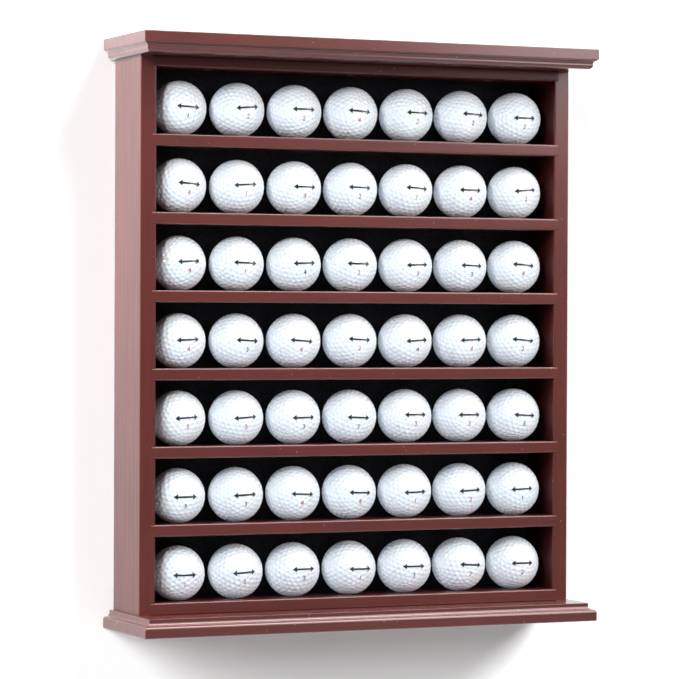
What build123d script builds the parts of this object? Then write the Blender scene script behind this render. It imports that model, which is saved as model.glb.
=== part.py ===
from build123d import *
import os
from math import cos, radians, sin

# Wall-hung display case for golf balls: two sides, housed shelves with a dished seat for every
# ball, a felt-faced back panel, hanging rails, and a moulded plank above and below.
# Millimetres. X runs along the shelves, -Y is the open front, +Y faces the wall, +Z is up.
# The origin is the middle of the outer box, on the plane that the base stands on.

# What the case holds
ball_diameter = 42.67
rows = 7
columns = 7
column_pitch = 48.0            # ball centre to ball centre along a shelf
row_pitch = 59.2               # shelf top to shelf top
wall_to_ball_centre = 25.7     # inner face of a side to the nearest ball centre
ball_setback = 21.0            # ball centre behind the front edges of the boards
seat_sink = 0.6                # lowest point of a ball below the top of its shelf
seat_clearance = 0.3           # air between a ball and its dished seat
top_row_extra = 0.8            # the top compartment is this much taller than the others
felt_gap = 2.265               # back of a ball to the felt

# Boards of the carcase
side_thickness = 12.7
shelf_thickness = 9.0
bottom_board_thickness = 9.0
top_board_thickness = 8.0
housing_depth = 3.3            # how far a shelf goes into each side
arris_radius = 0.9             # eased front corners of every board
outer_arris_radius = 0.6       # eased back corners of the sides

# Back of the case
felt_thickness = 1.0
panel_thickness = 3.2
rail_thickness = 8.2
rail_height = 38.0
rabbet_width = 6.0             # step cut in each side for the felt, the panel and the rails
cut_past = 1.0                 # cutting blocks run this far past the face they cut
panel_play = 0.4               # free edge round the panel, the felt and the rails

# Moulded planks
cap_front_overhang = 33.2
cap_side_overhang = 9.3
base_front_overhang = 35.2
base_side_overhang = 8.3
plank_edge_radius = 0.7        # eased outer corners of a plank
cap_fascia = 8.5               # upright band of the cap
cap_step = 1.0                 # first step in below the cap's band
cap_step_height = 0.9
cap_cove_in = 2.6              # hollow part of the cap's moulding
cap_cove_height = 2.7
cap_bead_in = 2.2              # round part of the cap's moulding
cap_bead_height = 3.7
base_fascia = 5.9              # upright band of the base
base_bead_in = 2.4             # round part of the base's moulding
base_bead_height = 3.0
base_cove_in = 2.8             # hollow part of the base's moulding
base_cove_height = 3.2
base_fillet_height = 1.8       # small upright under the flat top of the base
moulding_sag = 0.22            # bulge of a moulding's arcs, as a share of their chord

# Fasteners
fastener_fit = 0.05            # air round a screw or brad in its hole
screw_point_share = 0.2        # pointed share of a screw's length
slot_width_share = 0.14        # cross recess in a screw's head, as a share of the head
slot_length_share = 0.6
slot_depth_share = 0.6         # share of the head's height
base_screw = dict(length=32.0, shank=3.6, head=7.2, head_height=2.6)
cap_screw = dict(length=19.0, shank=3.2, head=6.4, head_height=2.3)
rail_screw = dict(length=25.0, shank=2.9, head=5.8, head_height=2.1)
plate_screw = dict(length=6.6, shank=2.2, head=4.2, head_height=1.1)
base_screw_inset = 13.0        # from the front edge of a side, and from the felt
cap_screw_pitch = 120.0
cap_screw_count = 3
rail_screw_pitch = 100.0
rail_screw_count = 4
brad_length = 15.0
brad_diameter = 1.3
brad_head_diameter = 3.0
brad_head_height = 0.7
brad_pitch = 120.0
brads_per_shelf = 3

# Keyhole hangers
hanger_spacing = 240.0
channel_width = 11.0           # gap in the hanging rail behind each plate, for a wall screw's head
plate_width = 36.0
plate_height = 25.0
plate_thickness = 1.5
plate_corner_radius = 5.0
keyhole_radius = 4.5
keyhole_slot_width = 4.6
keyhole_rise = 9.0             # centre of the round hole to the end of the slot
keyhole_drop = 3.5             # centre of the round hole below the middle of the plate
plate_screw_inset = 5.0        # plate screws from the ends of the plate

# Lifting a ball out: up and forward, clear of the seat's rim
lift_angle = 14.5

# Worked-out sizes
ball_radius = ball_diameter / 2
seat_radius = ball_radius + seat_clearance
shelf_depth = ball_setback + ball_radius + felt_gap          # front edge to the felt
inner_width = (columns - 1) * column_pitch + 2 * wall_to_ball_centre
outer_width = inner_width + 2 * side_thickness
body_depth = shelf_depth + felt_thickness + panel_thickness + rail_thickness
total_depth = body_depth + max(cap_front_overhang, base_front_overhang)
cap_thickness = cap_fascia + cap_step_height + cap_cove_height + cap_bead_height
base_thickness = base_fascia + base_bead_height + base_cove_height + base_fillet_height
back_y = total_depth / 2
front_y = back_y - body_depth          # plane of the boards' front edges
felt_y = front_y + shelf_depth         # front face of the felt
panel_y = felt_y + felt_thickness
rail_y = panel_y + panel_thickness
body_bottom = base_thickness
bottom_floor = body_bottom + bottom_board_thickness
top_underside = bottom_floor + rows * row_pitch - shelf_thickness + top_row_extra
body_top = top_underside + top_board_thickness
body_height = body_top - body_bottom
ball_y = front_y + ball_setback
back_width = inner_width + 2 * (rabbet_width - panel_play)


def floor_z(row):
    """Height of the surface that a row of balls sits on. Row 1 is the top one."""
    return bottom_floor + (rows - row) * row_pitch


def ball_x(column):
    return (column - (columns - 1) / 2) * column_pitch


def spread(count, pitch):
    """Places along X, evenly spaced about the middle."""
    return [(i - (count - 1) / 2) * pitch for i in range(count)]


def block(x0, x1, y0, y1, z0, z1):
    """A box between two corners."""
    middle = Pos((x0 + x1) / 2, (y0 + y1) / 2, (z0 + z1) / 2)
    return middle * Box(x1 - x0, y1 - y0, z1 - z0)


def bulged(start, end, side):
    """An arc that bulges to one side (+1 left, -1 right) of the line from start to end."""
    run = Vector(*end) - Vector(*start)
    middle = (Vector(*start) + Vector(*end)) * 0.5
    bulge = Vector(-run.Y, run.X) * (moulding_sag * side)
    return ThreePointArc(start, middle + bulge, end)


# Boards that run along X: one section, extruded
def long_board(thickness, depth, z0, length):
    """A board with eased front corners, its front edge on the boards' front plane."""
    section = Pos(front_y + depth / 2, z0 + thickness / 2) * Rectangle(depth, thickness)
    front = section.vertices().group_by(Axis.X)[0]
    section = fillet(front, arris_radius)
    return Pos(-length / 2, 0, 0) * extrude(Plane.YZ * section, length)


def with_seats(board, row):
    """Cuts the dished seats of one row of balls."""
    centre_z = floor_z(row) - seat_sink + ball_radius
    for column in range(columns):
        board = board - Pos(ball_x(column), ball_y, centre_z) * Sphere(seat_radius)
    return board


def row_of_balls(row):
    centre_z = floor_z(row) - seat_sink + ball_radius
    return [Pos(ball_x(c), ball_y, centre_z) * Sphere(ball_radius) for c in range(columns)]


# Screws, drawn head up with the head's face at z = 0
def screw_blank(length, shank, head, head_height, grow=0.0):
    point = length * screw_point_share
    top = Pos(0, 0, -head_height / 2) * Cone(shank / 2 + grow, head / 2 + grow, head_height)
    stem_length = length - head_height - point
    stem = Pos(0, 0, -head_height - stem_length / 2) * Cylinder(shank / 2 + grow, stem_length)
    tip = Pos(0, 0, -length + point / 2) * Cone(shank / 8 + grow, shank / 2 + grow, point)
    return top + stem + tip


def wood_screw(size):
    width = size["head"] * slot_width_share
    reach = size["head"] * slot_length_share
    depth = size["head_height"] * slot_depth_share
    recess = Box(width, reach, 2 * depth) + Box(reach, width, 2 * depth)
    return screw_blank(**size) - recess


def screw_hole(size):
    return screw_blank(**size, grow=fastener_fit)


def brad(grow=0.0):
    """A small nail: its head lies on the surface at z = 0."""
    head = Pos(0, 0, brad_head_height / 2) * Cylinder(brad_head_diameter / 2, brad_head_height)
    stem = Pos(0, 0, -brad_length / 2) * Cylinder(brad_diameter / 2 + grow, brad_length)
    return head + stem


# Where the fasteners go
upward = Rot(180, 0, 0)        # head below, point up
inward = Rot(-90, 0, 0)        # head at the back, point to the front
side_core_x = (outer_width - side_thickness + housing_depth) / 2      # middle of the wood left by a housing
base_screw_ys = (front_y + base_screw_inset, felt_y - base_screw_inset)
base_screw_places = [Pos(x, y, 0) * upward for x in (-side_core_x, side_core_x) for y in base_screw_ys]
cap_screw_places = [Pos(x, ball_y, top_underside) * upward for x in spread(cap_screw_count, cap_screw_pitch)]
rail_screw_heights = (body_top - top_board_thickness / 2, body_bottom + bottom_board_thickness / 2)
rail_screw_places = [
    Pos(x, back_y, z) * inward for z in rail_screw_heights for x in spread(rail_screw_count, rail_screw_pitch)
]
shelf_middles = [floor_z(row) - shelf_thickness / 2 for row in range(1, rows)]
brad_places = [Pos(x, rail_y, z) * inward for z in shelf_middles for x in spread(brads_per_shelf, brad_pitch)]
plate_z = body_top - panel_play - rail_height / 2
hanger_xs = (-hanger_spacing / 2, hanger_spacing / 2)
plate_screw_reach = plate_width / 2 - plate_screw_inset
plate_screw_places = [
    Pos(x + side * plate_screw_reach, back_y, plate_z) * inward for x in hanger_xs for side in (-1, 1)
]
base_holes = [place * screw_hole(base_screw) for place in base_screw_places]
cap_holes = [place * screw_hole(cap_screw) for place in cap_screw_places]
rail_holes = [place * screw_hole(rail_screw) for place in rail_screw_places]
brad_holes = [place * brad(fastener_fit) for place in brad_places]
plate_holes = [place * screw_hole(plate_screw) for place in plate_screw_places]


def left_side():
    """Upright board: housings for the shelves, end rabbets, and a rabbet along the back."""
    outer_x = -outer_width / 2
    inner_x = -inner_width / 2
    section = Pos((outer_x + inner_x) / 2, (front_y + back_y) / 2) * Rectangle(side_thickness, body_depth)
    section = fillet(section.vertices().group_by(Axis.Y)[0], arris_radius)
    back_corner = section.vertices().group_by(Axis.Y)[-1].sort_by(Axis.X)[0]
    section = fillet(back_corner, outer_arris_radius)
    side = Pos(0, 0, body_bottom) * extrude(section, body_height)
    housing_x = inner_x - housing_depth
    past_x = inner_x + cut_past
    for row in range(1, rows):
        top = floor_z(row)
        side -= block(housing_x, past_x, front_y, felt_y, top - shelf_thickness, top)
    side -= block(housing_x, past_x, front_y, felt_y, top_underside, body_top)
    side -= block(housing_x, past_x, front_y, felt_y, body_bottom, bottom_floor)
    side -= block(inner_x - rabbet_width, past_x, felt_y, back_y + cut_past, body_bottom, body_top)
    return side - base_holes


def sheet_behind(y0, thickness):
    """A flat sheet in the back rabbets, full height of the carcase."""
    sheet = block(-back_width / 2, back_width / 2, y0, y0 + thickness,
                  body_bottom + panel_play, body_top - panel_play)
    return sheet - brad_holes - rail_holes


def rail(x0, x1, z0):
    """A stretch of rail in the back rabbets, let in for any hanger plate that it carries."""
    stretch = block(x0, x1, rail_y, back_y, z0, z0 + rail_height) - rail_holes - plate_holes
    return stretch - [extrude(plate_plane(x) * plate_outline(), -plate_thickness) for x in hanger_xs]


def plate_plane(x):
    return Plane(origin=(x, back_y, plate_z), x_dir=(-1, 0, 0), z_dir=(0, 1, 0))


def plate_outline():
    return RectangleRounded(plate_width, plate_height, plate_corner_radius)


def hanger_plate(x):
    """Keyhole plate, flush with the back of the rail. Its slot rises from the round hole."""
    hole_z = -keyhole_drop
    slot_top = hole_z + keyhole_rise
    outline = plate_outline()
    outline -= Pos(0, hole_z) * Circle(keyhole_radius)
    outline -= Pos(0, (hole_z + slot_top) / 2) * Rectangle(keyhole_slot_width, keyhole_rise)
    outline -= Pos(0, slot_top) * Circle(keyhole_slot_width / 2)
    return extrude(plate_plane(x) * outline, -plate_thickness) - plate_holes


def moulded_plank(edge, front_overhang, side_overhang, z0):
    """A plank moulded along its front and both ends, mitred where the mouldings meet."""
    half = outer_width / 2 + side_overhang
    plank_front_y = front_y - front_overhang
    along = Plane.YZ * make_face(edge(plank_front_y, back_y))
    front = Pos(-half, 0, 0) * extrude(along, 2 * half)
    across = Plane.XZ * make_face(edge(-half, 0))
    left = Pos(0, back_y, 0) * extrude(across, back_y - plank_front_y)
    ends = left + mirror(left, Plane.YZ)
    return Pos(0, 0, z0) * (front & ends)


def cap_edge(outer, inner):
    """Outline of the cap from its moulded edge at outer to a square edge at inner."""
    ease = plank_edge_radius
    top = cap_thickness
    fascia_foot = top - cap_fascia
    step_foot = fascia_foot - cap_step_height
    cove_foot = step_foot - cap_cove_height
    step_u = outer + cap_step
    cove_u = step_u + cap_cove_in
    bead_u = cove_u + cap_bead_in
    lines = Line((inner, 0), (inner, top))
    lines += Line((inner, top), (outer + ease, top))
    lines += RadiusArc((outer + ease, top), (outer, top - ease), -ease)
    lines += Line((outer, top - ease), (outer, fascia_foot))
    lines += Line((outer, fascia_foot), (step_u, fascia_foot))
    lines += Line((step_u, fascia_foot), (step_u, step_foot))
    lines += bulged((step_u, step_foot), (cove_u, cove_foot), 1)
    lines += bulged((cove_u, cove_foot), (bead_u, 0), -1)
    lines += Line((bead_u, 0), (inner, 0))
    return lines


def base_edge(outer, inner):
    """Outline of the base from its moulded edge at outer to a square edge at inner."""
    ease = plank_edge_radius
    top = base_thickness
    bead_top = base_fascia + base_bead_height
    cove_top = bead_top + base_cove_height
    bead_u = outer + base_bead_in
    cove_u = bead_u + base_cove_in
    lines = Line((inner, top), (inner, 0))
    lines += Line((inner, 0), (outer + ease, 0))
    lines += RadiusArc((outer + ease, 0), (outer, ease), ease)
    lines += Line((outer, ease), (outer, base_fascia))
    lines += bulged((outer, base_fascia), (bead_u, bead_top), 1)
    lines += bulged((bead_u, bead_top), (cove_u, cove_top), -1)
    lines += Line((cove_u, cove_top), (cove_u, top))
    lines += Line((cove_u, top), (inner, top))
    return lines


housed_width = inner_width + 2 * housing_depth
parts = {}
parts["left_side"] = left_side()
parts["right_side"] = mirror(left_side(), Plane.YZ)
top_board = long_board(top_board_thickness, shelf_depth, top_underside, housed_width)
parts["top_board"] = top_board - cap_holes - rail_holes
bottom_board = long_board(bottom_board_thickness, shelf_depth, body_bottom, housed_width)
parts["bottom_board"] = with_seats(bottom_board, rows) - rail_holes
for row in range(1, rows):
    shelf = long_board(shelf_thickness, shelf_depth, floor_z(row) - shelf_thickness, housed_width)
    parts[f"shelf_{row}"] = with_seats(shelf, row) - brad_holes
parts["felt_lining"] = sheet_behind(felt_y, felt_thickness)
parts["back_panel"] = sheet_behind(panel_y, panel_thickness)
rail_end = back_width / 2
inner_gap_x = (hanger_spacing - channel_width) / 2
outer_gap_x = (hanger_spacing + channel_width) / 2
top_rail_z = body_top - panel_play - rail_height
parts["hanging_rail"] = rail(-inner_gap_x, inner_gap_x, top_rail_z)
parts["left_hanger_block"] = rail(-rail_end, -outer_gap_x, top_rail_z)
parts["right_hanger_block"] = rail(outer_gap_x, rail_end, top_rail_z)
parts["lower_rail"] = rail(-rail_end, rail_end, body_bottom + panel_play)
cap_plank = moulded_plank(cap_edge, cap_front_overhang, cap_side_overhang, body_top)
parts["cap_plank"] = cap_plank - cap_holes
base_plank = moulded_plank(base_edge, base_front_overhang, base_side_overhang, 0)
parts["base_plank"] = base_plank - base_holes
parts["base_screws"] = [place * wood_screw(base_screw) for place in base_screw_places]
parts["cap_screws"] = [place * wood_screw(cap_screw) for place in cap_screw_places]
parts["rail_screws"] = [place * wood_screw(rail_screw) for place in rail_screw_places]
parts["panel_brads"] = [place * brad() for place in brad_places]
parts["keyhole_plates"] = [hanger_plate(x) for x in hanger_xs]
parts["plate_screws"] = [place * wood_screw(plate_screw) for place in plate_screw_places]
for row in range(1, rows + 1):
    parts[f"balls_row_{row}"] = row_of_balls(row)

os.makedirs("parts", exist_ok=True)
for name, shape in parts.items():
    if isinstance(shape, list):
        solids = [solid for piece in shape for solid in piece.solids()]
    else:
        solids = shape.solids()
    export_step(Compound(children=solids) if len(solids) > 1 else solids[0], f"parts/{name}.step")

print("depth and height:", total_depth, body_top + cap_thickness)
print("balls lift along", (0.0, -round(cos(radians(lift_angle)), 4), round(sin(radians(lift_angle)), 4)))
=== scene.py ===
import math
import random

import bpy
from mathutils import Euler, Matrix, Vector


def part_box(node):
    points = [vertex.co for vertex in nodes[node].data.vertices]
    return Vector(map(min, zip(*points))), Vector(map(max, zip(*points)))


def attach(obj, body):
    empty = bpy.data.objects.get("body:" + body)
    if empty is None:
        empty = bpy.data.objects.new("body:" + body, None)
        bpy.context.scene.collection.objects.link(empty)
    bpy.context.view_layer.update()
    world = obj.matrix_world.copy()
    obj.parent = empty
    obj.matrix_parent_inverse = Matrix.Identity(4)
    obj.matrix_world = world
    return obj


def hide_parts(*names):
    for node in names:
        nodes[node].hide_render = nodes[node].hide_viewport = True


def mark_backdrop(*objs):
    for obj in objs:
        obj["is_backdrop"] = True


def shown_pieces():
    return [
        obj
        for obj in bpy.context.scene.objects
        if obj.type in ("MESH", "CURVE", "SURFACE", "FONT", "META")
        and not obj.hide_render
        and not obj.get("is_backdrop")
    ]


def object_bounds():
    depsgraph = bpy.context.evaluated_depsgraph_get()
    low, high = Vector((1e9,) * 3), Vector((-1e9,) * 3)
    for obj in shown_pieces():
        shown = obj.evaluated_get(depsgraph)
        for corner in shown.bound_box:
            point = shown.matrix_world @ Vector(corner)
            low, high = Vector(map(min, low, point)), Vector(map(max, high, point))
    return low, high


# Wall-hung display case for golf balls. The construction comes from the frame, in metres.
# X runs along the shelves, -Y is the open front, +Y faces the wall, +Z is up.

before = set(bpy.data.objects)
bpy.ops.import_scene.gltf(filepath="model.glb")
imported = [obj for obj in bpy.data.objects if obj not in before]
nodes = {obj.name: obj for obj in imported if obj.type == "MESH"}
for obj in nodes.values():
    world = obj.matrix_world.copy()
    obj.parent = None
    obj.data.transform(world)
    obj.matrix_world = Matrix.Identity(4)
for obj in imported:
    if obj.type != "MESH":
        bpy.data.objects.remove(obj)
cadLow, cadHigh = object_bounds()
mm = 0.001
ballRows = 7
ballsPerRow = 7
print("frame loaded,", len(nodes), "nodes")


def clearSelection():
    if bpy.context.object and bpy.context.object.mode == "EDIT":
        bpy.ops.object.mode_set(mode="OBJECT")
    for obj in bpy.context.selected_objects:
        obj.select_set(False)


def pick(*objects):
    clearSelection()
    for obj in objects:
        obj.select_set(True)
    bpy.context.view_layer.objects.active = objects[0]


def applyModifier(obj, kind, **settings):
    pick(obj)
    modifier = obj.modifiers.new(kind.title(), kind)
    for key, value in settings.items():
        setattr(modifier, key, value)
    bpy.ops.object.modifier_apply(modifier=modifier.name)


def addNode(tree, kind, inputs=None, **settings):
    made = tree.nodes.new(kind)
    for key, value in settings.items():
        setattr(made, key, value)
    for key, value in (inputs or {}).items():
        if isinstance(value, bpy.types.NodeSocket):
            tree.links.new(value, made.inputs[key])
        else:
            made.inputs[key].default_value = value
    return made


def newGroup(name, inputs, outputs):
    group = bpy.data.node_groups.new(name, "ShaderNodeTree")
    for socketName, kind, value in inputs:
        socket = group.interface.new_socket(socketName, in_out="INPUT", socket_type=kind)
        if value is not None:
            socket.default_value = value
    for socketName, kind in outputs:
        group.interface.new_socket(socketName, in_out="OUTPUT", socket_type=kind)
    return group, group.nodes.new("NodeGroupInput").outputs, group.nodes.new("NodeGroupOutput").inputs


def ramp(tree, value, low, high, outLow=0.0, outHigh=1.0):
    inputs = {"Value": value, "From Min": low, "From Max": high, "To Min": outLow, "To Max": outHigh}
    return addNode(tree, "ShaderNodeMapRange", inputs, clamp=True).outputs["Result"]


def mixColour(tree, share, first, second, blend="MIX"):
    made = addNode(tree, "ShaderNodeMix", data_type="RGBA", blend_type=blend)
    for index, value in ((0, share), (6, first), (7, second)):
        if isinstance(value, bpy.types.NodeSocket):
            tree.links.new(value, made.inputs[index])
        else:
            made.inputs[index].default_value = value
    return made.outputs[2]


def maths(tree, operation, first, second=0.0):
    return addNode(tree, "ShaderNodeMath", {0: first, 1: second}, operation=operation).outputs[0]


def noise(tree, vector, scale, detail=2.0, roughness=0.5, distortion=0.0):
    inputs = {"Vector": vector, "Scale": scale, "Detail": detail, "Roughness": roughness,
              "Distortion": distortion}
    return addNode(tree, "ShaderNodeTexNoise", inputs).outputs["Fac"]


def objectPlace(tree):
    return addNode(tree, "ShaderNodeTexCoord").outputs["Object"]


def rgba(red, green, blue):
    return (red, green, blue, 1.0)


# Wood grain that runs along the direction with the smallest stretch
def makeGrainGroup():
    vec, num = "NodeSocketVector", "NodeSocketFloat"
    group, given, out = newGroup(
        "boardGrain",
        [("Place", vec, None), ("Stretch", vec, (4.0, 60.0, 60.0)), ("Pore Stretch", vec, (60.0, 1500.0, 1500.0)),
         ("Pore Share", num, 0.3)],
        [("Streaks", num), ("Cloud", num), ("Pores", num), ("Height", num)],
    )
    broad = addNode(group, "ShaderNodeMapping", {"Vector": given["Place"], "Scale": given["Stretch"]})
    fine = addNode(group, "ShaderNodeMapping", {"Vector": given["Place"], "Scale": given["Pore Stretch"]})
    streaks = noise(group, broad.outputs[0], 3.0, detail=6.0, roughness=0.62, distortion=0.25)
    cloud = noise(group, given["Place"], 16.0, detail=3.0)
    pores = noise(group, fine.outputs[0], 1.0, detail=2.0, roughness=0.6)
    edge = maths(group, "SUBTRACT", 0.86, maths(group, "MULTIPLY", given["Pore Share"], 0.6))
    poreMask = addNode(group, "ShaderNodeMapRange",
                       {"Value": pores, "From Min": edge, "From Max": maths(group, "ADD", edge, 0.12)},
                       clamp=True).outputs["Result"]
    fibre = ramp(group, streaks, 0.3, 0.7)
    height = maths(group, "SUBTRACT", maths(group, "MULTIPLY", fibre, 0.35), poreMask)
    for name, value in (("Streaks", fibre), ("Cloud", ramp(group, cloud, 0.3, 0.7)),
                        ("Pores", poreMask), ("Height", height)):
        group.links.new(value, out[name])
    return group


# Rounded and bare edges, whose lighter colour on the wood is partly wear and partly a painted highlight: how far the
# surface turns within a short reach, along the axes that count
def makeEdgeGroup():
    num, vec = "NodeSocketFloat", "NodeSocketVector"
    group, given, out = newGroup(
        "edgeWearAndHighlight",
        [("Place", vec, None), ("Reach", num, 0.001), ("Axes", vec, (1.0, 1.0, 1.0)), ("Breakup", num, 0.5),
         ("Breakup Size", num, 90.0)],
        [("Mask", num), ("Normal", vec)],
    )
    rounded = addNode(group, "ShaderNodeBevel", {"Radius": given["Reach"]}, samples=8).outputs[0]
    flat = addNode(group, "ShaderNodeNewGeometry").outputs["Normal"]
    turn = addNode(group, "ShaderNodeVectorMath", {0: rounded, 1: flat}, operation="SUBTRACT").outputs[0]
    turn = addNode(group, "ShaderNodeVectorMath", {0: turn, 1: given["Axes"]}, operation="MULTIPLY").outputs[0]
    size = addNode(group, "ShaderNodeVectorMath", {0: turn}, operation="LENGTH").outputs["Value"]
    bent = ramp(group, size, 0.32, 0.62)
    patches = ramp(group, noise(group, given["Place"], given["Breakup Size"], detail=4.0), 0.35, 0.65)
    kept = maths(group, "SUBTRACT", 1.0, maths(group, "MULTIPLY", given["Breakup"], patches))
    group.links.new(maths(group, "MULTIPLY", bent, kept), out["Mask"])
    eased = addNode(group, "ShaderNodeVectorMath", {0: flat, 1: turn}, operation="ADD").outputs[0]
    normal = addNode(group, "ShaderNodeVectorMath", {0: eased}, operation="NORMALIZE").outputs[0]
    group.links.new(normal, out["Normal"])
    return group


# Small specks of dust or filler; on the wood, the bright specks are also painted glints
def makeSpeckGroup():
    num = "NodeSocketFloat"
    group, given, out = newGroup(
        "specks",
        [("Place", "NodeSocketVector", None), ("Density", num, 0.1), ("Size", num, 900.0)],
        [("Mask", num)],
    )
    cells = addNode(group, "ShaderNodeTexVoronoi", {"Vector": given["Place"], "Scale": given["Size"]})
    pickOne = addNode(group, "ShaderNodeSeparateColor", {"Color": cells.outputs["Color"]}).outputs[0]
    chosen = maths(group, "LESS_THAN", pickOne, given["Density"])
    dot = ramp(group, cells.outputs["Distance"], 0.22, 0.1)
    group.links.new(maths(group, "MULTIPLY", chosen, dot), out["Mask"])
    return group


grainGroup = makeGrainGroup()
edgeGroup = makeEdgeGroup()
speckGroup = makeSpeckGroup()


def placeGroup(tree, group, **inputs):
    made = tree.nodes.new("ShaderNodeGroup")
    made.node_tree = group
    for key, value in inputs.items():
        socket = made.inputs[key.replace("_", " ").title()]
        if isinstance(value, bpy.types.NodeSocket):
            tree.links.new(value, socket)
        else:
            socket.default_value = value
    return made.outputs


def newMaterial(name):
    material = bpy.data.materials.new(name)
    material.use_nodes = True
    tree = material.node_tree
    return material, tree, tree.nodes["Principled BSDF"]


def setInputs(shader, **values):
    for key, value in values.items():
        shader.inputs[key.replace("_", " ").title().replace("Ior", "IOR")].default_value = value


def bump(tree, shader, height, strength, distance, normal=None, socket="Normal"):
    inputs = {"Height": height, "Strength": strength, "Distance": distance}
    if normal:
        inputs["Normal"] = normal
    made = addNode(tree, "ShaderNodeBump", inputs)
    tree.links.new(made.outputs[0], shader.inputs[socket])


wood = {
    "dark": rgba(0.071, 0.0072, 0.0048),
    "light": rgba(0.138, 0.0190, 0.0145),
    "pore": rgba(0.030, 0.0060, 0.0050),
    # Lighter arrises: partly wear, partly a painted highlight.
    "edgeWearAndHighlight": rgba(0.46, 0.22, 0.19),
    "edgeShare": 0.6,
    # Bright specks: dust, and also painted glints.
    "speck": rgba(0.62, 0.46, 0.43),
    "roughness": (0.41, 0.48),
    "sheen": rgba(1.0, 0.76, 0.74),
    "grainDepth": 0.14,         # share of 0.05 mm
    "coatRoughness": 0.2,
    "peel": 0.03 * mm,          # unevenness of the lacquer
    "peelSize": 800.0,
    # Painted shade: the inner faces of the uprights are darkened by this share.
    "paintedInsideShade": 0.5,         # the inner faces of the uprights are darker
}


# How much each axis of the edge normal counts: nothing inside the joints, where an upright meets a shelf end
def jointFreeAxes(tree, x, axes, first, last):
    joint = maths(tree, "MULTIPLY", maths(tree, "GREATER_THAN", x, first), maths(tree, "LESS_THAN", x, last))
    free = maths(tree, "SUBTRACT", 1.0, joint)
    return addNode(tree, "ShaderNodeVectorMath", {0: axes, "Scale": free}, operation="SCALE").outputs[0]


def stainedWood(name, stretch, poreStretch, edgeAxes, edgeReach, coat=0.8, dustAndGlints=0.02, paleness=1.0,
                uprights=None):
    material, tree, shader = newMaterial(name)
    place = objectPlace(tree)
    if uprights:
        inner, shelfEnd = uprights
        x = maths(tree, "ABSOLUTE", addNode(tree, "ShaderNodeSeparateXYZ", {0: place}).outputs["X"])
        edgeAxes = jointFreeAxes(tree, x, edgeAxes, inner + 1.3 * mm, shelfEnd + 1.4 * mm)
    grain = placeGroup(tree, grainGroup, place=place, stretch=stretch, pore_stretch=poreStretch, pore_share=0.36)
    worn = placeGroup(tree, edgeGroup, place=place, reach=edgeReach, axes=edgeAxes, breakup=0.5,
                      breakup_size=70.0)
    specks = placeGroup(tree, speckGroup, place=place, density=dustAndGlints, size=430.0)
    tone = maths(tree, "ADD", maths(tree, "MULTIPLY", grain["Streaks"], 0.5),
                 maths(tree, "MULTIPLY", grain["Cloud"], 0.35))
    tone = maths(tree, "MULTIPLY", maths(tree, "ADD", tone, 0.08), paleness)
    colour = mixColour(tree, tone, wood["dark"], wood["light"])
    colour = mixColour(tree, maths(tree, "MULTIPLY", grain["Pores"], 0.7), colour, wood["pore"])
    # Specks: dust, and also painted glints, denser on the mouldings.
    colour = mixColour(tree, maths(tree, "MULTIPLY", specks["Mask"], 0.6), colour, wood["speck"])
    # Lighter edges: partly wear, partly a painted highlight along the arrises.
    colour = mixColour(tree, maths(tree, "MULTIPLY", worn["Mask"], wood["edgeShare"]), colour, wood["edgeWearAndHighlight"])
    # Painted shade: the inner faces of the uprights are darkened.
    if uprights:
        inside = maths(tree, "LESS_THAN", x, inner + 0.1 * mm)
        shade = ramp(tree, inside, 0.0, 1.0, 1.0, wood["paintedInsideShade"])
        colour = addNode(tree, "ShaderNodeVectorMath", {0: colour, "Scale": shade}, operation="SCALE").outputs[0]
    tree.links.new(colour, shader.inputs["Base Color"])
    low, high = wood["roughness"]
    tree.links.new(ramp(tree, grain["Streaks"], 0.0, 1.0, high, low), shader.inputs["Roughness"])
    setInputs(shader, coat_weight=coat, coat_roughness=wood["coatRoughness"], specular_tint=wood["sheen"])
    bump(tree, shader, grain["Height"], wood["grainDepth"], 0.05 * mm, worn["Normal"])
    peel = noise(tree, place, wood["peelSize"], detail=2.0)
    bump(tree, shader, peel, 0.5, wood["peel"], worn["Normal"], "Coat Normal")
    return material


def feltMaterial():
    material, tree, shader = newMaterial("blackFelt")
    place = objectPlace(tree)
    fuzz = noise(tree, place, 900.0, detail=4.0, roughness=0.7)
    pile = noise(tree, place, 60.0, detail=3.0)
    colour = mixColour(tree, ramp(tree, fuzz, 0.35, 0.7), rgba(0.0200, 0.0200, 0.0230), rgba(0.0560, 0.0560, 0.0640))
    colour = mixColour(tree, ramp(tree, pile, 0.35, 0.75, 0.0, 0.5), colour, rgba(0.0300, 0.0300, 0.0340))
    tree.links.new(colour, shader.inputs["Base Color"])
    setInputs(shader, roughness=0.95, sheen_weight=0.04, specular_ior_level=0.12)
    bump(tree, shader, fuzz, 0.5, 0.25 * mm)
    return material


def hardboardMaterial():
    material, tree, shader = newMaterial("hardboard")
    place = objectPlace(tree)
    fibre = noise(tree, place, 700.0, detail=5.0, roughness=0.7)
    blotch = noise(tree, place, 30.0, detail=3.0)
    colour = mixColour(tree, ramp(tree, fibre, 0.3, 0.7), rgba(0.13, 0.062, 0.030), rgba(0.27, 0.150, 0.078))
    colour = mixColour(tree, ramp(tree, blotch, 0.35, 0.65, 0.0, 0.35), colour, rgba(0.17, 0.088, 0.045))
    tree.links.new(colour, shader.inputs["Base Color"])
    tree.links.new(ramp(tree, fibre, 0.3, 0.7, 0.55, 0.75), shader.inputs["Roughness"])
    bump(tree, shader, fibre, 0.3, 0.1 * mm)
    return material


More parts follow.
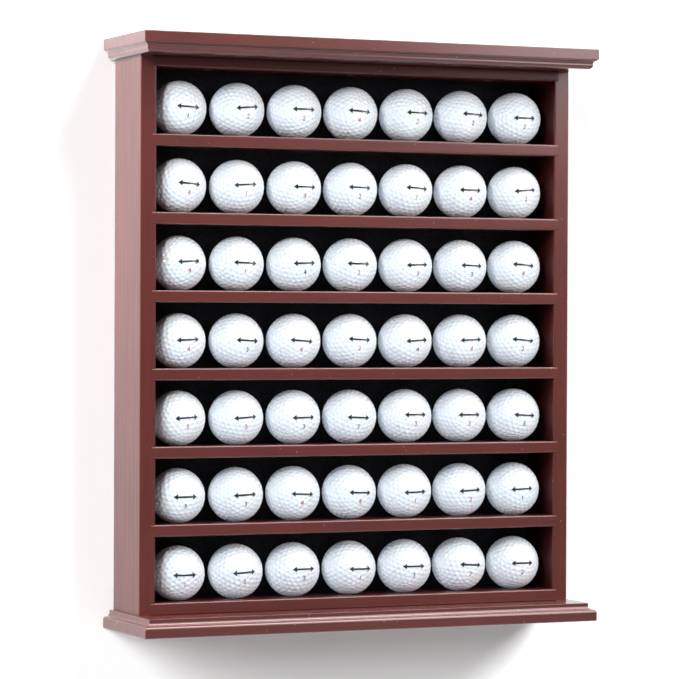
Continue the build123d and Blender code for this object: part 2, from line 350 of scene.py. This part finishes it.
def steelMaterial(name, bright, dull, roughness):
    material, tree, shader = newMaterial(name)
    place = objectPlace(tree)
    patches = ramp(tree, noise(tree, place, 350.0, detail=5.0, roughness=0.65), 0.3, 0.7)
    worn = placeGroup(tree, edgeGroup, place=place, reach=0.25 * mm, breakup=0.4, breakup_size=400.0)
    colour = mixColour(tree, patches, dull, bright)
    colour = mixColour(tree, maths(tree, "MULTIPLY", worn["Mask"], 0.6), colour, rgba(0.86, 0.86, 0.86))
    tree.links.new(colour, shader.inputs["Base Color"])
    tree.links.new(ramp(tree, patches, 0.0, 1.0, roughness + 0.14, roughness), shader.inputs["Roughness"])
    setInputs(shader, metallic=1.0)
    bump(tree, shader, patches, 0.15, 0.03 * mm)
    return material


cover = {
    "white": rgba(0.75, 0.775, 0.80),
    # Painted shade in the dimples.
    "hollow": rgba(0.70, 0.71, 0.75),
    "scuff": rgba(0.70, 0.68, 0.68),
    "roughness": (0.24, 0.34),
}


def coverMaterial():
    material, tree, shader = newMaterial("ballCover")
    place = objectPlace(tree)
    # Painted shade: the dimples, found by pointiness, are coloured darker and bluer.
    dimpleShadeMask = ramp(tree, addNode(tree, "ShaderNodeNewGeometry").outputs["Pointiness"], 0.5, 0.44)
    smear = ramp(tree, noise(tree, place, 130.0, detail=5.0, roughness=0.65), 0.58, 0.8)
    specks = placeGroup(tree, speckGroup, place=place, density=0.012, size=700.0)
    colour = mixColour(tree, maths(tree, "MULTIPLY", dimpleShadeMask, 0.8), cover["white"], cover["hollow"])
    colour = mixColour(tree, maths(tree, "MULTIPLY", smear, 0.35), colour, cover["scuff"])
    colour = mixColour(tree, maths(tree, "MULTIPLY", specks["Mask"], 0.35), colour, cover["scuff"])
    tree.links.new(colour, shader.inputs["Base Color"])
    low, high = cover["roughness"]
    tree.links.new(ramp(tree, smear, 0.0, 1.0, low, high), shader.inputs["Roughness"])
    setInputs(shader, coat_weight=0.2, coat_roughness=0.08)
    bump(tree, shader, noise(tree, place, 1500.0, detail=3.0), 0.08, 0.03 * mm)
    return material


def inkMaterial(name, ink, worn):
    material, tree, shader = newMaterial(name)
    place = objectPlace(tree)
    patchy = ramp(tree, noise(tree, place, 1400.0, detail=4.0, roughness=0.7), 0.42, 0.72)
    colour = mixColour(tree, maths(tree, "MULTIPLY", patchy, 0.35), ink, worn)
    tree.links.new(colour, shader.inputs["Base Color"])
    setInputs(shader, roughness=0.35)
    return material


alongGrain, alongPores = (5.0, 75.0, 75.0), (70.0, 1700.0, 1700.0)
sideInner, shelfEnd = -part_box("left_side")[1][0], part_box("shelf_1")[1][0]
boardAxes, uprightAxes = (0.0, 1.0, 1.0), (1.0, 1.0, 0.0)
boardWood = stainedWood("stainedWoodAlongShelf", alongGrain, alongPores, boardAxes, 1.2 * mm)
# Painted shade: the top board under the cap is made much darker (paleness 0.1) for the cap's shadow, and its coat is
# thin.
shadedWood = stainedWood("stainedWoodPaintedCapShade", alongGrain, alongPores, boardAxes, 1.0 * mm, coat=0.15,
                          paleness=0.1)
# The mouldings carry more bright specks, painted glints as well as dust.
mouldingWood = stainedWood("stainedWoodMoulding", alongGrain, alongPores, boardAxes, 0.5 * mm, coat=1.0, dustAndGlints=0.045)
uprightWood = stainedWood("stainedWoodUpright", (75.0, 75.0, 5.0), (1700.0, 1700.0, 70.0), uprightAxes, 1.2 * mm,
                          coat=0.65, uprights=(sideInner, shelfEnd))
felt = feltMaterial()
hardboard = hardboardMaterial()
zincSteel = steelMaterial("zincSteel", rgba(0.62, 0.61, 0.56), rgba(0.44, 0.44, 0.42), 0.3)
plateSteel = steelMaterial("plateSteel", rgba(0.56, 0.56, 0.57), rgba(0.36, 0.36, 0.37), 0.34)
ballCover = coverMaterial()
darkInk = inkMaterial("darkInk", rgba(0.004, 0.004, 0.005), rgba(0.05, 0.05, 0.055))
redInk = inkMaterial("redInk", rgba(0.36, 0.030, 0.040), rgba(0.55, 0.22, 0.24))


def dress(names, material):
    for name in names:
        slots = nodes[name].data.materials
        slots.clear()
        slots.append(material)


shelves = [f"shelf_{row}" for row in range(1, ballRows)]
alongBoards = ["bottom_board", *shelves, "hanging_rail",
               "left_hanger_block", "right_hanger_block", "lower_rail"]
dress(alongBoards, boardWood)
dress(["top_board"], shadedWood)
dress(["cap_plank", "base_plank"], mouldingWood)
dress(["left_side", "right_side"], uprightWood)
dress(["back_panel"], hardboard)
dress(["base_screws", "cap_screws", "rail_screws", "panel_brads", "plate_screws"], zincSteel)
dress(["keyhole_plates"], plateSteel)
print("finishes on the boards, panel, screws and plates")


ball = {
    "cuts": 5,                  # 362 dimples
    "dimpleWall": 1.05 * mm,
    "dimpleDepth": 0.84 * mm,
    "skin": 0.9992,             # of the frame's radius
    "seed": 19,
}


def makeDimpledBall(radius):
    clearSelection()
    bpy.ops.mesh.primitive_ico_sphere_add(subdivisions=1, radius=radius)
    obj = bpy.context.object
    bpy.ops.object.mode_set(mode="EDIT")
    bpy.ops.mesh.select_all(action="SELECT")
    bpy.ops.mesh.subdivide(number_cuts=ball["cuts"])
    bpy.ops.transform.tosphere(value=1.0)
    bpy.ops.mesh.bevel(offset_type="PERCENT", offset_pct=50.0, affect="VERTICES")
    bpy.ops.mesh.remove_doubles(threshold=0.02 * mm)
    bpy.ops.transform.tosphere(value=1.0)
    bpy.ops.mesh.select_all(action="DESELECT")
    bpy.ops.mesh.select_mode(type="FACE")
    bpy.ops.mesh.select_face_by_sides(number=4, type="GREATER")
    bpy.ops.mesh.inset(thickness=ball["dimpleWall"], depth=-ball["dimpleDepth"], use_individual=True)
    bpy.ops.object.mode_set(mode="OBJECT")
    applyModifier(obj, "SUBSURF", levels=1, render_levels=1)
    reach = max(vertex.co.length for vertex in obj.data.vertices)
    obj.data.transform(Matrix.Scale(radius * ball["skin"] / reach, 4))
    pick(obj)
    bpy.ops.object.shade_smooth()
    return obj


def rowPlaces(row):
    low, high = (Vector(corner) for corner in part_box(f"balls_row_{row}"))
    radius = (high.z - low.z) / 2
    step = (high.x - low.x - 2 * radius) / (ballsPerRow - 1)
    first = Vector((low.x + radius, (low.y + high.y) / 2, (low.z + high.z) / 2))
    return radius, [first + Vector((step * column, 0, 0)) for column in range(ballsPerRow)]


def joinAs(name, pieces):
    pick(*pieces)
    bpy.ops.object.join()
    joined = bpy.context.object
    joined.name = name
    joined.data.name = name
    return joined


ballRadius, firstPlaces = rowPlaces(1)
masterBall = makeDimpledBall(ballRadius)
masterBall.data.materials.append(ballCover)
draw = random.Random(ball["seed"])
for row in range(1, ballRows + 1):
    copies = []
    for centre in rowPlaces(row)[1]:
        copy = masterBall.copy()
        copy.data = masterBall.data.copy()
        turn = Euler([draw.uniform(0, 2 * math.pi) for axis in range(3)])
        copy.data.transform(Matrix.Translation(centre) @ turn.to_matrix().to_4x4())
        bpy.context.scene.collection.objects.link(copy)
        copies.append(copy)
    balls = joinAs(f"dimpled_balls_row_{row}", copies)
    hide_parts(f"balls_row_{row}")
    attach(balls, f"row_{row}")
bpy.data.objects.remove(masterBall)
print("balls:", ballRows * ballsPerRow, "with", len(balls.data.polygons) // ballsPerRow, "faces each")


prints = {
    "numberHeight": 3.9 * mm,
    "numberDrop": 17.5,         # degrees below the middle of the ball
    "lineLength": 12.4 * mm,
    "lineHeight": 1.4 * mm,
    "lineDrop": -2.0,
    "headLength": 3.2 * mm,
    "headHeight": 4.4 * mm,
    "proud": 0.03 * mm,
    "thickness": 0.07 * mm,
    "wander": (4.5, 2.5, 5.0),  # degrees that a ball is turned: sideways, up or down, tilted
    "seed": 5,
}


def makeNumber(digit):
    clearSelection()
    bpy.ops.object.text_add()
    obj = bpy.context.object
    obj.data.body = str(digit)
    obj.data.align_x = "CENTER"
    obj.data.align_y = "CENTER"
    obj.data.size = prints["numberHeight"] / 0.7
    obj.data.resolution_u = 4
    bpy.ops.object.convert(target="MESH")
    return bpy.context.object


# A plain line with an arrowhead at each end
def makeLine():
    clearSelection()
    half, head = prints["lineLength"] / 2, prints["headLength"]
    bpy.ops.mesh.primitive_grid_add(x_subdivisions=20, y_subdivisions=1, size=1)
    line = bpy.context.object
    line.data.transform(Matrix.Diagonal((2 * half, prints["lineHeight"], 1, 1)))
    parts = [line]
    for side in (-1, 1):
        clearSelection()
        bpy.ops.mesh.primitive_circle_add(vertices=3, radius=head / 1.5, fill_type="NGON")
        arrow = bpy.context.object
        widen = prints["headHeight"] / (head / 1.5 * math.sqrt(3))
        shape = Matrix.Translation((side * (half + head / 3), 0, 0)) @ Matrix.Diagonal((1, widen, 1, 1))
        arrow.data.transform(shape @ Matrix.Rotation(-side * math.pi / 2, 4, "Z"))
        bpy.ops.object.mode_set(mode="EDIT")
        bpy.ops.mesh.select_all(action="SELECT")
        bpy.ops.mesh.quads_convert_to_tris()
        bpy.ops.mesh.subdivide(number_cuts=5)
        bpy.ops.object.mode_set(mode="OBJECT")
        parts.append(arrow)
    return joinAs("line", parts)


def onBall(mesh, radius, drop, turn, centre):
    low = math.radians(drop)
    for vertex in mesh.vertices:
        east = vertex.co.x / radius
        north = vertex.co.y / radius - low
        out = Vector((math.sin(east) * math.cos(north), -math.cos(east) * math.cos(north), math.sin(north)))
        vertex.co = centre + turn @ (out * (radius + prints["proud"]))


masters = {digit: makeNumber(digit) for digit in (1, 2, 3, 4)}
masters["line"] = makeLine()
draw = random.Random(prints["seed"])
for row in range(1, ballRows + 1):
    copies = []
    for centre in rowPlaces(row)[1]:
        sideways, pitch, tilt = (math.radians(draw.uniform(-limit, limit)) for limit in prints["wander"])
        turn = Euler((pitch, tilt, sideways)).to_matrix()
        digit = draw.choice((1, 2, 3, 4))
        inks = (redInk if draw.random() < 0.7 else darkInk, darkInk)
        for name, drop, ink in ((digit, prints["numberDrop"], inks[0]), ("line", prints["lineDrop"], inks[1])):
            copy = masters[name].copy()
            copy.data = masters[name].data.copy()
            bpy.context.scene.collection.objects.link(copy)
            onBall(copy.data, ballRadius, drop, turn, centre)
            copy.data.materials.clear()
            copy.data.materials.append(ink)
            copies.append(copy)
    marks = joinAs(f"ball_numbers_row_{row}", copies)
    applyModifier(marks, "SOLIDIFY", thickness=prints["thickness"], offset=-1.0)
    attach(marks, f"row_{row}")
for obj in masters.values():
    bpy.data.objects.remove(obj)
print("numbers and lines printed on the balls")


feltSheet = {
    "thickness": 0.8 * mm,
    "ripple": 0.12 * mm,
    "rippleSize": 45 * mm,
}


def makeFelt():
    low, high = (Vector(corner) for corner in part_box("felt_lining"))
    size = high - low
    middle = (low + high) / 2
    clearSelection()
    bpy.ops.mesh.primitive_grid_add(x_subdivisions=70, y_subdivisions=84, size=1)
    obj = bpy.context.object
    bpy.ops.object.mode_set(mode="EDIT")
    bpy.ops.mesh.select_all(action="SELECT")
    bpy.ops.transform.resize(value=(size.x, size.z, 1))
    bpy.ops.object.mode_set(mode="OBJECT")
    backFace = high.y - feltSheet["thickness"] / 2 - feltSheet["ripple"] / 2
    obj.data.transform(Matrix.Translation((middle.x, backFace, middle.z)) @ Matrix.Rotation(math.pi / 2, 4, "X"))
    waves = bpy.data.textures.new("feltWaves", "CLOUDS")
    waves.noise_scale = feltSheet["rippleSize"]
    applyModifier(obj, "DISPLACE", texture=waves, strength=feltSheet["ripple"], texture_coords="LOCAL")
    applyModifier(obj, "SOLIDIFY", thickness=feltSheet["thickness"], offset=0.0)
    pick(obj)
    bpy.ops.object.shade_smooth()
    obj.name = obj.data.name = "felt_sheet"
    obj.data.materials.append(felt)
    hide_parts("felt_lining")
    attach(obj, "case")
    return obj


makeFelt()
print("felt stretched on the back panel")


room = {
    "wallGap": 0.4 * mm,
    "wallSize": 7.0,
    "wallSeen": rgba(0.90, 0.90, 0.90),
    "wallBounced": rgba(0.30, 0.30, 0.30),
    "holeInset": 4 * mm,        # the wall is left out behind the case, so that its back shows from behind
    "floorDrop": 0.62,
    "floorSeen": rgba(0.90, 0.90, 0.89),
    "floorBounced": rgba(0.50, 0.50, 0.50),
    # Painted reflection: the wall glows in glossy rays only, brighter at the top than at the foot.
    "sheen": (0.75, 1.45),      # how bright the lacquer mirrors the wall at a slant, at the foot and at the top
    "glow": 0.085,              # light that lies in the shadow on the wall
    "worldSoft": 0.11,
    "ceilingShine": 3.2,        # how much brighter the ceiling on the right is, in reflections
    "background": rgba(0.947, 0.947, 0.947),
}


# Paint that is seen from the room alone: from behind, the camera looks through it
def oneSided(name, seen, bounced, glow):
    material, tree, shader = newMaterial(name)
    path = addNode(tree, "ShaderNodeLightPath").outputs
    height = addNode(tree, "ShaderNodeSeparateXYZ", {0: objectPlace(tree)}).outputs["Z"]
    # Painted reflection: in glossy rays the wall glows, more strongly higher up, so the lacquer mirrors a brighter
    # wall at the top.
    sheen = ramp(tree, height, cadLow.z, cadHigh.z, *room["sheen"])
    shiny = maths(tree, "MAXIMUM", path["Is Glossy Ray"], path["Is Transmission Ray"])
    tree.links.new(mixColour(tree, path["Is Camera Ray"], bounced, seen), shader.inputs["Base Color"])
    setInputs(shader, roughness=0.9, specular_ior_level=0.0)
    clear = addNode(tree, "ShaderNodeBsdfTransparent")
    behind = addNode(tree, "ShaderNodeNewGeometry").outputs["Backfacing"]
    shader.inputs["Emission Color"].default_value = room["background"]
    shine = maths(tree, "ADD", maths(tree, "MULTIPLY", path["Is Camera Ray"], glow), maths(tree, "MULTIPLY", shiny, sheen))
    tree.links.new(shine, shader.inputs["Emission Strength"])
    mix = addNode(tree, "ShaderNodeMixShader", {0: maths(tree, "MULTIPLY", behind, path["Is Camera Ray"]),
                                                1: shader.outputs[0], 2: clear.outputs[0]})
    tree.links.new(mix.outputs[0], tree.nodes["Material Output"].inputs["Surface"])
    return material


def makeWall():
    size, inset = room["wallSize"] / 2, room["holeInset"]
    y = cadHigh.y + room["wallGap"]
    left, right = cadLow.x + inset * 3, cadHigh.x - inset * 3
    foot, top = cadLow.z + inset, cadHigh.z - inset
    xs, zs = (-size, left, right, size), (-room["floorDrop"], foot, top, size)
    corners = [(x, y, z) for z in zs for x in xs]
    faces = [(r * 4 + c, r * 4 + c + 1, r * 4 + c + 5, r * 4 + c + 4)
             for r in range(3) for c in range(3) if (r, c) != (1, 1)]
    mesh = bpy.data.meshes.new("wall")
    mesh.from_pydata(corners, [], faces)
    wall = bpy.data.objects.new("wall", mesh)
    bpy.context.scene.collection.objects.link(wall)
    mesh.materials.append(oneSided("wallPaint", room["wallSeen"], room["wallBounced"], room["glow"]))
    return wall


def makeFloor():
    clearSelection()
    size = room["wallSize"]
    bpy.ops.mesh.primitive_plane_add(size=size, location=(0, cadHigh.y + room["wallGap"] - size / 2,
                                                          -room["floorDrop"]))
    floor = bpy.context.object
    floor.name = "floor"
    floor.data.materials.append(oneSided("floorPaint", room["floorSeen"], room["floorBounced"], 0.0))
    return floor


wall, floor = makeWall(), makeFloor()
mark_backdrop(wall, floor)

# azimuth: degrees to the left of straight in front; light: what a white card facing it would show.
# The lamps whose names start with ball light the balls, and the others light the rest.
lamps = {
    "key": {"azimuth": 50, "elevation": 26, "distance": 1.5, "size": (0.22, 0.22), "light": 0.35},
    "high": {"azimuth": -37, "elevation": 58, "distance": 1.4, "size": (0.9, 0.6), "light": 0.88},
    "left": {"azimuth": 93, "elevation": 30, "distance": 1.25, "size": (0.7, 0.7), "light": 2.8},
    "right": {"azimuth": -37, "elevation": 21, "distance": 1.7, "size": (0.53, 0.72), "light": 0.24},
    "rear": {"azimuth": 205, "elevation": 30, "distance": 2.6, "size": (1.2, 1.2), "light": 0.40},
    "ballKey": {"azimuth": 50, "elevation": 26, "distance": 1.5, "size": (0.22, 0.22), "light": 0.50},
    "ballHigh": {"azimuth": -37, "elevation": 58, "distance": 1.4, "size": (0.9, 0.6), "light": 0.64},
    "ballRight": {"azimuth": -42, "elevation": 12, "distance": 1.8, "size": (0.5, 0.5), "light": 0.60},
    "ballFill": {"azimuth": 66, "elevation": -4, "distance": 1.8, "size": (0.4, 0.4), "light": 0.42},
    "ballBounce": {"azimuth": -5, "elevation": -38, "distance": 1.5, "size": (1.0, 1.0), "light": 0.66},
}
fillColour = (0.70, 0.86, 1.0)
wallSuns = {
    "wallSunLeft": {"azimuth": 58, "elevation": 22, "spread": 35, "light": 0.75},
    "wallSunRight": {"azimuth": -50, "elevation": 42, "spread": 35, "light": 0.84},
}


def direction(azimuth, elevation):
    a, e = math.radians(azimuth), math.radians(elevation)
    return Vector((-math.sin(a) * math.cos(e), -math.cos(a) * math.cos(e), math.sin(e)))


def placeLight(name, kind, way, distance):
    data = bpy.data.lights.new(name, kind)
    obj = bpy.data.objects.new(name, data)
    bpy.context.scene.collection.objects.link(obj)
    obj.location = (cadLow + cadHigh) / 2 + way * distance
    obj.rotation_mode = "QUATERNION"
    obj.rotation_quaternion = way.to_track_quat("Z", "Y")
    return obj


caseOnly = bpy.data.collections.new("litByLamps")
ballsOnly = bpy.data.collections.new("litByBallLamps")
wallOnly = bpy.data.collections.new("litByWallSuns")
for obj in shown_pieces():
    (ballsOnly if "ball" in obj.name else caseOnly).objects.link(obj)
caseOnly.objects.link(floor)
wallOnly.objects.link(wall)
for name, lamp in lamps.items():
    way = direction(lamp["azimuth"], lamp["elevation"])
    light = placeLight(name, "AREA", way, lamp["distance"])
    light.data.shape = "RECTANGLE"
    light.data.size, light.data.size_y = lamp["size"]
    light.data.energy = lamp["light"] * (math.pi * lamp["distance"]) ** 2
    light.light_linking.receiver_collection = ballsOnly if name.startswith("ball") else caseOnly
    light.visible_glossy = name != "left"
    if name in ("ballFill", "ballBounce"):
        light.data.color = fillColour
        light.light_linking.blocker_collection = caseOnly
for name, values in wallSuns.items():
    way = direction(values["azimuth"], values["elevation"])
    sun = placeLight(name, "SUN", way, 3.0)
    sun.data.angle = math.radians(values["spread"])
    sun.data.energy = values["light"] * math.pi / abs(way.y)
    sun.light_linking.receiver_collection = wallOnly


def makeWorld():
    world = bpy.data.worlds.new("softRoom")
    bpy.context.scene.world = world
    world.use_nodes = True
    tree = world.node_tree
    tree.nodes.clear()
    path = addNode(tree, "ShaderNodeLightPath").outputs
    out = addNode(tree, "ShaderNodeSeparateXYZ",
                  {0: addNode(tree, "ShaderNodeTexCoord").outputs["Generated"]}).outputs
    seen = addNode(tree, "ShaderNodeBackground", {"Color": room["background"], "Strength": 1.0})
    # The room in front of the case is dim; the walls and the ceiling are pale
    up = ramp(tree, out["Z"], 0.0, 0.7, 0.0, 1.0)
    back = ramp(tree, out["Y"], -0.3, 0.3, 0.0, 1.0)
    pale = maths(tree, "MAXIMUM", up, back)
    right = ramp(tree, out["X"], -0.1, 0.5, 0.0, 1.0)
    bright = maths(tree, "ADD", 1.0, maths(tree, "MULTIPLY", maths(tree, "MULTIPLY", up, right), room["ceilingShine"]))
    mirrored = addNode(tree, "ShaderNodeBackground",
                       {"Color": mixColour(tree, pale, rgba(0.05, 0.05, 0.055), room["background"]),
                        "Strength": bright})
    soft = addNode(tree, "ShaderNodeBackground", {"Color": rgba(0.84, 0.92, 1.0), "Strength": room["worldSoft"]})
    shiny = maths(tree, "MAXIMUM", path["Is Glossy Ray"], path["Is Transmission Ray"])
    first = addNode(tree, "ShaderNodeMixShader", {0: shiny, 1: soft.outputs[0], 2: mirrored.outputs[0]})
    last = addNode(tree, "ShaderNodeMixShader", {0: path["Is Camera Ray"], 1: first.outputs[0], 2: seen.outputs[0]})
    tree.links.new(last.outputs[0], addNode(tree, "ShaderNodeOutputWorld").inputs["Surface"])


makeWorld()

view = {
    "place": (-1.014274, -2.235313, 0.240803),
    "yaw": 24.130,              # degrees that the camera turns right of straight on
    "pitch": 0.429,             # looking down
    "roll": 0.224,
    "lens": 166.777,
    "sensor": 36.0,
}


def makeCamera():
    data = bpy.data.cameras.new("camera")
    data.lens, data.sensor_width = view["lens"], view["sensor"]
    data.clip_start, data.clip_end = 0.05, 50.0
    camera = bpy.data.objects.new("camera", data)
    bpy.context.scene.collection.objects.link(camera)
    look = Matrix.Rotation(-math.radians(view["yaw"]), 4, "Z")
    look @= Matrix.Rotation(math.pi / 2 - math.radians(view["pitch"]), 4, "X")
    look @= Matrix.Rotation(math.radians(view["roll"]), 4, "Z")
    camera.matrix_world = Matrix.Translation(view["place"]) @ look
    bpy.context.scene.camera = camera


makeCamera()
bpy.context.scene.view_settings.view_transform = "Standard"
print("room, lights and camera are set")
